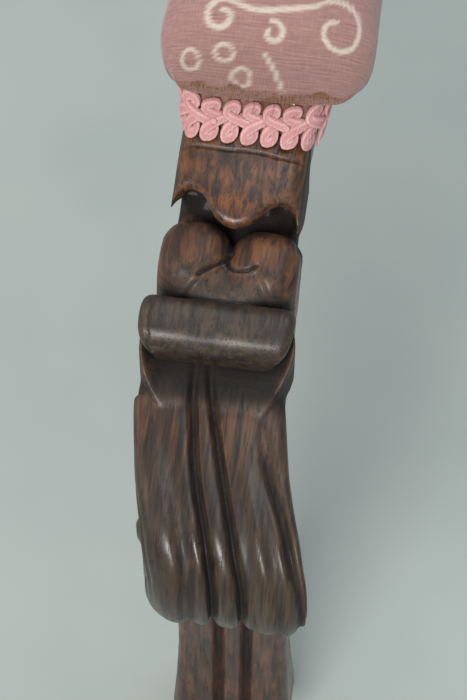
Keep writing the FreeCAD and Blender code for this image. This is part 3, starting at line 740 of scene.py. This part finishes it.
def figure_on(a, b):
    """How much of the cream figure shows at places on the flat cloth."""
    shown = np.zeros_like(a)
    for repeat in range(-1, 5):
        shift = FIGURE_PITCH * repeat
        mirror = -1.0 if repeat % 2 else 1.0
        for half, route in FIGURE:
            path = through(route, 1.2)
            near = np.abs(b - shift - path[:, 1].mean()) < np.ptp(path[:, 1]) / 2 + 6.0
            away, along = to_path(a[near] * mirror, b[near] - shift, path)
            width = 1.4 * half * (0.55 + 0.45 * np.sin(math.pi * np.clip(along, 0.04, 0.96)) ** 0.5)
            shown[near] = np.maximum(shown[near], smoothstep(width + 0.45, width - 0.35, away))
    return shown


def pad():
    """The damask cover, closed along its middle line and open below, where the platform hides it."""
    s, grid = pad_surface()
    a, b = flat_pattern(s, grid)
    grid = pucker(s, grid)
    rows, around = a.shape
    low = grid[..., 2]
    rag = ripple(a, b, low * 0.4, 2.6, 4.0) + 0.8 * ripple(a, b, low, 7.0, 2.0)
    patchy = smoothstep(-0.2, 0.3, ripple(a, b, low, 9.0, 3.0))
    bare = smoothstep(8.0, 5.2, low - 2.8 * rag) * (0.45 + 0.55 * patchy)
    vertices = from_pad(grid).reshape(-1, 3)
    top, half = (rows - 1) * around, around // 2
    i = np.arange(1, half - 1)
    cap = top + np.stack([i, i + 1, around - i - 1, around - i], -1)
    tip = [top + half - 1, top + half, top + half + 1]
    faces = grid_faces(rows, around) + cap.tolist() + [tip]
    values = (("figure", figure_on(a, b).ravel()), ("bare", bare.ravel()))
    piece = make_mesh("pad_cover_cloth", vertices, faces, values)
    store_map(piece.data, "cloth", a.ravel() / CM, b.ravel() / CM)
    return piece


# ---- the gimp braid ----
LOOP_PITCH = 6.8
LOOPS = int(round(ROUND * 1.03 / LOOP_PITCH / 2)) * 2
STRAND_W, STRAND_T = 2.6, 1.25


def braid_path(cord):
    """One gimp cord's middle line over the whole edge: (along, across, height) in braid millimetres."""
    turns = LOOPS // 2
    t = np.linspace(0.0, 2 * math.pi * turns, turns * 46, endpoint=False)
    along = 2 * LOOP_PITCH * t / (2 * math.pi) - 3.35 * np.sin(2 * t)
    across = 4.3 * (0.75 * np.cos(t) + 0.25 * np.cos(t) ** 3)
    height = 0.5 * np.sin(2 * t) + 0.3 * np.sin(t) ** 2 * (1 if cord else -1)
    return np.stack([along + cord * LOOP_PITCH, across, height], axis=1)


def on_edge(braid, base):
    """Braid millimetres to pad points: along, across (up) and height off the cloth."""
    scale = ROUND / (LOOPS * LOOP_PITCH)
    s, across, height = braid[..., 0] * scale, braid[..., 1], braid[..., 2]
    _, _, _, ny = edge_walk(s)
    clear = 1.5 * np.abs(ny) * smoothstep(0.0, -5.0, across)
    return from_pad(edge_point(s, 5.7 - across, base + height + clear))


def braid(name, cord):
    """A flat cord of three threads swept along its looping path."""
    path = braid_path(cord)
    run = np.roll(path, -1, axis=0) - np.roll(path, 1, axis=0)
    length = LOOPS * LOOP_PITCH
    run[:, 0] = np.mod(run[:, 0] + length / 2, length) - length / 2
    run[:, 2] *= 0.5
    run /= np.linalg.norm(run, axis=1, keepdims=True)
    side = np.cross(np.array([0.0, 0.0, 1.0]), run)
    side /= np.linalg.norm(side, axis=1, keepdims=True)
    rise = np.cross(run, side)
    angle = np.linspace(0, 2 * math.pi, 14, endpoint=False)
    wide = STRAND_W / 2 * np.sign(np.cos(angle)) * np.abs(np.cos(angle)) ** 0.8
    ridge = 1.0 + 0.22 * np.cos(3 * math.pi * wide / (STRAND_W / 2) * 0.98)
    tall = STRAND_T / 2 * np.sign(np.sin(angle)) * np.abs(np.sin(angle)) ** 0.7 * ridge
    shape = path[:, None] + side[:, None] * wide[None, :, None] + rise[:, None] * tall[None, :, None]
    points = on_edge(shape, 3.0)
    rows, around = points.shape[:2]
    # Where the valleys between the threads lie, for painted shade in them.
    valley = np.tile(0.5 + 0.5 * np.cos(3 * math.pi * wide / (STRAND_W / 2)), rows)
    faces = grid_faces(rows, around, closed=True)
    piece = make_mesh(name, points.reshape(-1, 3), faces, (("thread", valley),))
    lengths = np.concatenate([[0.0], np.cumsum(np.linalg.norm(np.diff(path, axis=0), axis=1))])
    store_map(piece.data, "cord", np.repeat(lengths, around) / CM, np.tile(np.arange(around) / around, rows))
    return piece


# ---- materials ----
def srgb(r, g, b):
    """A linear colour from 0-255 display values."""
    c = [v / 255 for v in (r, g, b)]
    return tuple(v / 12.92 if v < 0.04045 else ((v + 0.055) / 1.055) ** 2.4 for v in c) + (1.0,)


class Nodes:
    """A material's node tree, built a node at a time."""

    def __init__(self, name):
        self.material = bpy.data.materials.new(name)
        self.material.use_nodes = True
        self.tree = self.material.node_tree
        self.shader = self.tree.nodes["Principled BSDF"]
        self.here = None

    def add(self, kind, inputs=(), out=0, **settings):
        node = self.tree.nodes.new("ShaderNode" + kind)
        for key, value in settings.items():
            setattr(node, key, value)
        for key, value in dict(inputs).items():
            self.put(node.inputs[key], value)
        return node.outputs[out]

    def put(self, socket, value):
        if isinstance(value, bpy.types.NodeSocket):
            self.tree.links.new(value, socket)
        else:
            socket.default_value = value

    def shade(self, **inputs):
        for key, value in inputs.items():
            self.put(self.shader.inputs[key.replace("_", " ")], value)
        return self.material

    def place(self, scale, turn=(0.0, 0.0, 0.0)):
        """Millimetres in the piece's own frame, or along its grain, scaled per axis."""
        if self.here is None:
            return self.stretch(self.add("TexCoord", out=3), tuple(v / MM for v in scale), turn)
        return self.stretch(self.here, scale, turn)

    def stretch(self, vector, scale, turn=(0.0, 0.0, 0.0)):
        return self.add("Mapping", {"Vector": vector, "Scale": scale, "Rotation": turn})

    def noise(self, vector, detail=3.0, rough=0.55, distortion=0.0):
        return self.add("TexNoise", {"Vector": vector, "Scale": 1.0, "Detail": detail, "Roughness": rough,
                                     "Distortion": distortion})

    def wave(self, vector, scale, distortion, detail, detail_scale=1.0, **settings):
        inputs = {"Vector": vector, "Scale": scale, "Distortion": distortion, "Detail": detail,
                  "Detail Scale": detail_scale}
        return self.add("TexWave", inputs, out=1, **settings)

    def spread(self, value, a, b, low=0.0, high=1.0):
        """Value between a and b, spread from low to high and held there beyond them."""
        return self.add("MapRange", {"Value": value, "From Min": a, "From Max": b,
                                     "To Min": low, "To Max": high})

    def math(self, operation, a, b=0.0):
        return self.add("Math", {0: a, 1: b}, operation=operation)

    def mix(self, share, a, b):
        node = self.tree.nodes.new("ShaderNodeMix")
        node.data_type = "RGBA"
        self.put(node.inputs[0], share)
        self.put(node.inputs[6], a)
        self.put(node.inputs[7], b)
        return node.outputs[2]

    def value(self, name):
        return self.add("Attribute", out=2, attribute_name=name)

    def bump(self, height, distance, strength=1.0, after=None):
        inputs = {"Height": height, "Distance": distance * MM, "Strength": strength}
        if after is not None:
            inputs["Normal"] = after
        return self.add("Bump", inputs)


def walnut(name, grey, warm, worn=None):
    """Old varnished walnut: dark pores along the grain, growth figure, polish worn off the crests.

    Grey and warm are each a light and a dark stain, and worn is the share of the warm one, read from
    the mesh where it isn't given.
    """
    n = Nodes(name)
    n.here = n.add("Attribute", out=1, attribute_name="grain")
    tilt = (0.10, 0.0, 0.06)
    pore = n.spread(n.noise(n.place((1 / 0.5, 1 / 9.0, 1 / 0.5), tilt), 2.0, 0.5), 0.60, 0.68)
    streak = n.noise(n.place((1 / 2.2, 1 / 30.0, 1 / 2.2), tilt), 5.0, 0.6, 0.6)
    light_streak = n.spread(streak, 0.39, 0.61)
    patch = n.noise(n.place((1 / 16.0,) * 3))
    figure = n.wave(n.place((1 / 20.0,) * 3, tilt), 1.6, 2.6, 3.0, 1.4,
                    wave_type="RINGS", rings_direction="Y")
    recess, crest = n.value("recess"), n.value("crest")
    base = n.mix(light_streak, srgb(*grey[0]), srgb(*grey[1]))
    glow = n.mix(light_streak, srgb(*warm[0]), srgb(*warm[1]))
    colour = n.mix(n.value("worn") if worn is None else worn, base, glow)
    colour = n.mix(n.spread(figure, 0.35, 0.8, 0.0, 0.3), colour, srgb(40, 24, 18))
    colour = n.mix(n.spread(patch, 0.35, 0.7, 0.0, 0.35), colour, srgb(36, 24, 19))
    colour = n.mix(n.spread(crest, 0.25, 0.8, 0.0, 0.28), colour, srgb(118, 78, 52))
    colour = n.mix(n.math("MULTIPLY", pore, 0.75), colour, srgb(20, 12, 10))
    # Painted shade: recesses go towards near black, from the occlusion measure and darkening masks, with the
    # dark patina of the hollows.
    colour = n.mix(n.spread(recess, 0.42, 1.0, 0.0, 0.94), colour, srgb(10, 8, 7))
    rough = n.math("ADD", n.spread(patch, 0.3, 0.7, 0.26, 0.40), n.math("MULTIPLY", recess, 0.5))
    rough = n.math("ADD", rough, n.math("MULTIPLY", pore, 0.15))
    normal = n.bump(n.math("MULTIPLY", pore, -1.0), 0.07, 0.6)
    normal = n.bump(n.noise(n.place((1 / 2.2,) * 3)), 0.10, 0.5, normal)
    return n.shade(Base_Color=colour, Roughness=rough, Normal=normal, Coat_Weight=0.1, Coat_Roughness=0.18,
                   Specular_IOR_Level=0.5)


def plain_wood(name, light, dark):
    n = Nodes(name)
    grain = n.noise(n.place((1 / 0.9, 1 / 0.9, 1 / 14.0)), 4.0, 0.6, 0.4)
    normal = n.bump(grain, 0.15, 0.5)
    return n.shade(Base_Color=n.mix(n.spread(grain, 0.35, 0.65), srgb(*light), srgb(*dark)),
                   Roughness=n.spread(grain, 0.3, 0.7, 0.5, 0.7), Normal=normal)


def damask():
    """Dusty pink ribbed damask with a cream figure, faded to brown threads where it is tacked."""
    n = Nodes("damask")
    cloth = n.add("UVMap", uv_map="cloth")
    ribs = n.wave(cloth, 2.3, 0.5, 2.0, 3.0, wave_type="BANDS", bands_direction="Y")
    slubs = n.noise(n.stretch(cloth, (1.1, 14.0, 1.0)), 4.0, 0.65)
    warp = n.noise(n.stretch(cloth, (26.0, 2.2, 1.0)), 3.0, 0.6)
    ragged = n.noise(n.stretch(cloth, (7.0, 20.0, 1.0)), 3.0, 0.6)
    figure = n.math("MULTIPLY", n.value("figure"), n.spread(ragged, 0.28, 0.5, 0.55, 1.0))
    fade = n.noise(n.place((1 / 22.0,) * 3))
    pink = n.mix(n.spread(slubs, 0.32, 0.68), srgb(166, 126, 121), srgb(134, 94, 92))
    pink = n.mix(n.spread(warp, 0.45, 0.7, 0.0, 0.35), pink, srgb(184, 152, 144))
    pink = n.mix(n.spread(fade, 0.35, 0.65, 0.0, 0.35), pink, srgb(148, 112, 98))
    colour = n.mix(n.math("MULTIPLY", figure, 0.85), pink, srgb(208, 194, 178))
    unevenness = n.math("MULTIPLY", n.math("SUBTRACT", ragged, 0.5), 1.3)
    bare = n.spread(n.math("ADD", n.value("bare"), unevenness), 0.25, 0.6)
    frayed = n.mix(n.spread(warp, 0.4, 0.65), srgb(92, 58, 40), srgb(150, 106, 74))
    colour = n.mix(bare, colour, frayed)
    height = n.math("ADD", n.math("MULTIPLY", ribs, 0.5), n.math("MULTIPLY", slubs, 0.6))
    height = n.math("ADD", height, n.math("MULTIPLY", figure, 0.9))
    normal = n.bump(height, 0.16, 0.8)
    normal = n.bump(warp, 0.10, 0.5, normal)
    return n.shade(Base_Color=colour, Roughness=n.spread(figure, 0.0, 1.0, 0.85, 0.62), Normal=normal,
                   Sheen_Weight=0.35, Sheen_Roughness=0.5)


def gimp_yarn():
    """Twisted rayon thread, pale pink, with painted shade darkening the valleys between the threads."""
    n = Nodes("gimp_yarn")
    cord = n.stretch(n.add("UVMap", uv_map="cord"), (1.0, 0.6, 1.0))
    twist = n.wave(cord, 4.6, 0.6, 1.0, wave_type="BANDS", bands_direction="DIAGONAL")
    dust = n.noise(n.place((1 / 6.0,) * 3), 4.0)
    valley = n.spread(n.value("thread"), 0.0, 0.6, 0.55, 0.0)
    colour = n.mix(n.spread(dust, 0.35, 0.7), srgb(222, 176, 174), srgb(196, 146, 144))
    # Painted shade in the valleys between the threads.
    colour = n.mix(valley, colour, srgb(178, 108, 108))
    colour = n.mix(n.spread(twist, 0.5, 0.0, 0.0, 0.3), colour, srgb(190, 122, 122))
    normal = n.bump(twist, 0.10, 0.7)
    return n.shade(Base_Color=colour, Roughness=n.spread(dust, 0.3, 0.7, 0.5, 0.68), Normal=normal,
                   Sheen_Weight=0.2, Sheen_Roughness=0.4)


def steel(name, rust):
    """Blued steel; rust is the share that has gone brown."""
    n = Nodes(name)
    spots = n.noise(n.place((1 / 0.8,) * 3), 4.0)
    share = n.spread(spots, 0.5 - rust / 2, 0.7 - rust / 2)
    colour = n.mix(share, srgb(150, 148, 146), srgb(96, 62, 44))
    return n.shade(Base_Color=colour, Metallic=n.spread(share, 0.0, 1.0, 1.0, 0.2),
                   Roughness=n.spread(spots, 0.3, 0.7, 0.3, 0.6), Normal=n.bump(spots, 0.05, 0.5))


def enamel(name):
    """Pink enamel on fine pins, a little chipped."""
    n = Nodes(name)
    chips = n.noise(n.place((1 / 0.7,) * 3), 4.0)
    colour = n.mix(n.spread(chips, 0.6, 0.66), srgb(196, 138, 136), srgb(92, 66, 56))
    return n.shade(Base_Color=colour, Roughness=n.spread(chips, 0.3, 0.7, 0.35, 0.6),
                   Normal=n.bump(chips, 0.04, 0.5))


def floor_finish():
    n = Nodes("pale_floor")
    tone = n.noise(n.place((1 / 90.0,) * 3), 2.0)
    colour = n.mix(n.spread(tone, 0.35, 0.65), srgb(170, 179, 175), srgb(176, 184, 179))
    return n.shade(Base_Color=colour, Roughness=0.9, Specular_IOR_Level=0.1)


# ---- building ----
def dress(piece, material):
    piece.data.materials.clear()
    piece.data.materials.append(material)
    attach(piece, "root")
    return piece


def arm_wood():
    """The whole rail, meshed finely where it is carved and coarsely under the pad."""
    step = 0.65
    carved, plain, rear = 100.0, 130.0, REAR_Y - 30.0
    y = axis_steps((RAIL_LO[1] - 2.5, carved, step), (carved, plain, step * 2), (plain, rear, step * 6),
                   (rear, REAR_Y + 3.0, step * 3))
    x = axis_steps((-40.0, 36.0, step))
    z = axis_steps((JOINT_Z - 2.0, RAIL_HI[2] + 3.0, step))
    piece = carve("arm_rail_carved", whole_rail, (x, y, z), shade_and_grime)
    age_rail(piece)
    return piece


def points_of(piece):
    """A piece's vertices in millimetres, as x, y and z."""
    p = np.empty(len(piece.data.vertices) * 3, np.float32)
    piece.data.vertices.foreach_get("co", p)
    return p.reshape(-1, 3).T / MM


def add_grain(piece, across, along, deep):
    """Where each vertex lies in the timber: across, along and into the grain, in millimetres."""
    layer = piece.data.attributes.new("grain", "FLOAT_VECTOR", "POINT")
    layer.data.foreach_set("vector", np.stack([across, along, deep], axis=1).astype(np.float32).ravel())


def age_rail(piece):
    """Grain that follows the scroll round, and where handling has worn the stain through to warm wood."""
    x, y, z = points_of(piece)
    t = travel(y, z)
    hand = smoothstep(30.0, 12.0, y) * np.where(t > 0, 1.0, smoothstep(7.0, 4.0, z - hand_top(y)))
    round_nose = np.where(t > 0, np.hypot(y - NOSE_Y, z - NOSE_Z), z - hand_top(y) + NOSE_R)
    add_grain(piece, x, hand * (TANGENT_Y - t) + (1 - hand) * y, hand * round_nose + (1 - hand) * z)
    worn = smoothstep(30.0, 48.0, y) * (0.85 + 0.15 * ripple(x, y, z, 9.0))
    worn = np.maximum(worn, 0.3 * smoothstep(14.0, 8.0, y) * smoothstep(-20.0, 0.0, y))
    store(piece.data, "worn", np.clip(worn, 0.0, 1.0))


def post_wood():
    step = 0.8
    spans = ((-27.0, 27.0), (-36.0, 30.0), (-2.0, JOINT_Z + 2.0))
    axes = [axis_steps((start, end, step)) for start, end in spans]
    piece = carve("arm_post_reeded", post, axes, post_groove_dark)
    x, y, z = points_of(piece)
    add_grain(piece, x, z, y)
    return piece


def area_light(name, place, toward, size, power, colour):
    lamp = bpy.data.lights.new(name, "AREA")
    lamp.shape, lamp.energy, lamp.color = "RECTANGLE", power, colour
    lamp.size, lamp.size_y = size
    item = bpy.data.objects.new(name, lamp)
    item.location = place
    item.rotation_euler = (Vector(toward) - Vector(place)).to_track_quat("-Z", "Y").to_euler()
    bpy.context.scene.collection.objects.link(item)


def studio():
    mesh = bpy.data.meshes.new("studio_floor")
    z = CAD_BOX[0][2]
    mesh.from_pydata([(-6, -6, z), (6, -6, z), (6, 6, z), (-6, 6, z)], [], [(0, 1, 2, 3)])
    floor = bpy.data.objects.new("studio_floor", mesh)
    bpy.context.scene.collection.objects.link(floor)
    mesh.materials.append(floor_finish())
    world = bpy.data.worlds.new("studio_air")
    world.use_nodes = True
    world.node_tree.nodes["Background"].inputs[0].default_value = (0.86, 0.93, 0.98, 1.0)
    world.node_tree.nodes["Background"].inputs[1].default_value = 0.42
    bpy.context.scene.world = world
    aim = (0.0, 0.02, 0.19)
    area_light("window", (-0.25, -1.05, 1.15), aim, (0.6, 0.5), 17.0, (1.0, 0.98, 0.95))
    area_light("sky", (0.3, 0.6, 1.7), aim, (1.6, 1.6), 12.0, (0.92, 0.97, 1.0))
    area_light("pink_side", (-1.0, 0.1, 0.5), aim, (0.9, 0.7), 2.5, (1.0, 0.78, 0.74))
    scene = bpy.context.scene
    scene.view_settings.view_transform = "Standard"
    scene.view_settings.look = "None"


def camera():
    data = bpy.data.cameras.new("camera")
    data.lens, data.sensor_width = 100.44, 36.0
    data.clip_start = 0.05
    item = bpy.data.objects.new("camera", data)
    aim = Vector((-0.0035, 0.016, 0.215))
    pitch, turn, away = math.radians(57.0), math.radians(8.0), 0.62
    back = Vector((math.sin(turn) * math.cos(pitch), -math.cos(turn) * math.cos(pitch), math.sin(pitch)))
    item.location = aim + back * away
    item.rotation_euler = (-back).to_track_quat("-Z", "Y").to_euler()
    bpy.context.scene.collection.objects.link(item)
    bpy.context.scene.camera = item


def build():
    rail_piece = dress(arm_wood(), walnut("walnut_arm", ((76, 60, 44), (34, 27, 22)),
                                                    ((128, 76, 38), (48, 29, 19))))
    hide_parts("arm_rail")
    post_piece = dress(post_wood(), walnut("walnut_post", ((100, 62, 43), (48, 29, 21)),
                                                     ((108, 66, 45), (54, 32, 23)), 0.5))
    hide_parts("arm_post")
    cover = dress(pad(), damask())
    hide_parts("pad_cover", "pad_calico", "pad_wadding", "pad_stuffing", "pad_hessian")
    yarn = gimp_yarn()
    for number in (0, 1):
        cord = dress(braid("gimp_cord_" + "ab"[number], number), yarn)
        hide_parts("gimp_braid")
    beech = plain_wood("beech", (206, 170, 124), (176, 136, 92))
    tacks, pins = steel("blued_tack_steel", 0.5), enamel("pin_enamel")
    finishes = {
        "joint_dowels": beech, "foot_dowels": beech, "rear_dowels": beech,
        "hessian_tacks": tacks, "calico_tacks": tacks, "cover_tacks": tacks, "gimp_pins": pins,
    }
    for node, finish in finishes.items():
        for item in bpy.data.objects:
            if item.type == "MESH" and item.name.split(".")[0] == node:
                item.data.materials.clear()
                item.data.materials.append(finish)


build()
studio()
camera()
